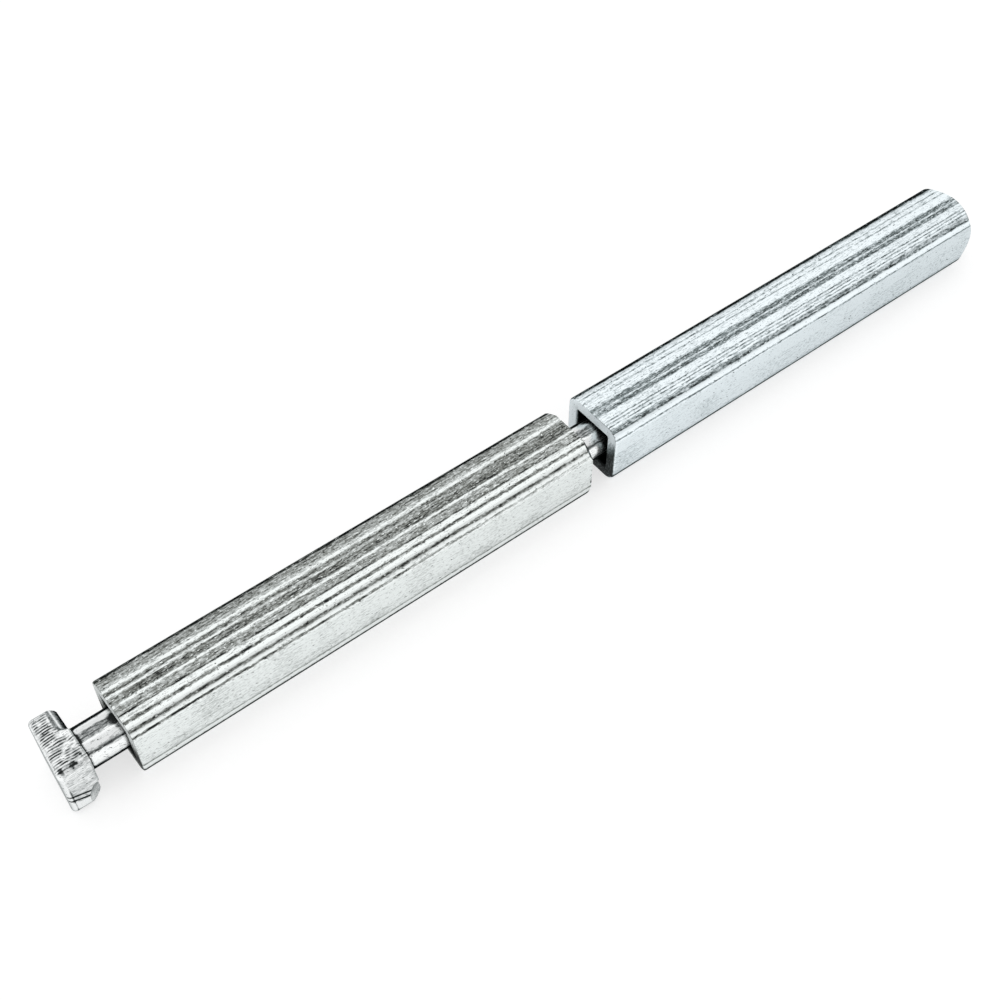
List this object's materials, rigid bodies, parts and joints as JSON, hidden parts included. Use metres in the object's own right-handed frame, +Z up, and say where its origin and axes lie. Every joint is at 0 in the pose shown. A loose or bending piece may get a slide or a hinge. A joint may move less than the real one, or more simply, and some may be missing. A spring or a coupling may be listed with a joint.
{
  "type": "split door handle spindle",
  "caption": "Split square spindle: a headed round pin carries two square tube sleeves that turn separately, one for each door handle.",
  "frame": {"origin": "middle of the footprint, on the surface that the spindle lies on", "axes": "+X along the pin from the head to the riveted end, +Z up, flats of the square level"},
  "size_m": [0.1268, 0.008, 0.008],
  "materials": {
    "pin_steel": "bright zinc plate over upset and trimmed steel",
    "sleeve_steel": "bright zinc plate over drawn steel tube, with lengthwise die lines",
    "far_sleeve_steel": "bright zinc plate with a blue tint over drawn steel tube, with lengthwise die lines"
  },
  "bodies": {
    "head_end": {"head_end_sleeve": "sleeve_steel"},
    "pin": {"headed_pin": "pin_steel"},
    "far_end": {"far_end_sleeve": "far_sleeve_steel"}
  },
  "joints": [
    {"name": "pin_slide", "type": "slide", "parent": "head_end", "child": "pin", "axis": [1, 0, 0], "range_m": [-0.0032, 0.004]},
    {"name": "far_end_turn", "type": "hinge", "parent": "pin", "child": "far_end", "pos_m": [0, 0, 0.004], "axis": [1, 0, 0], "continuous": true}
  ]
}
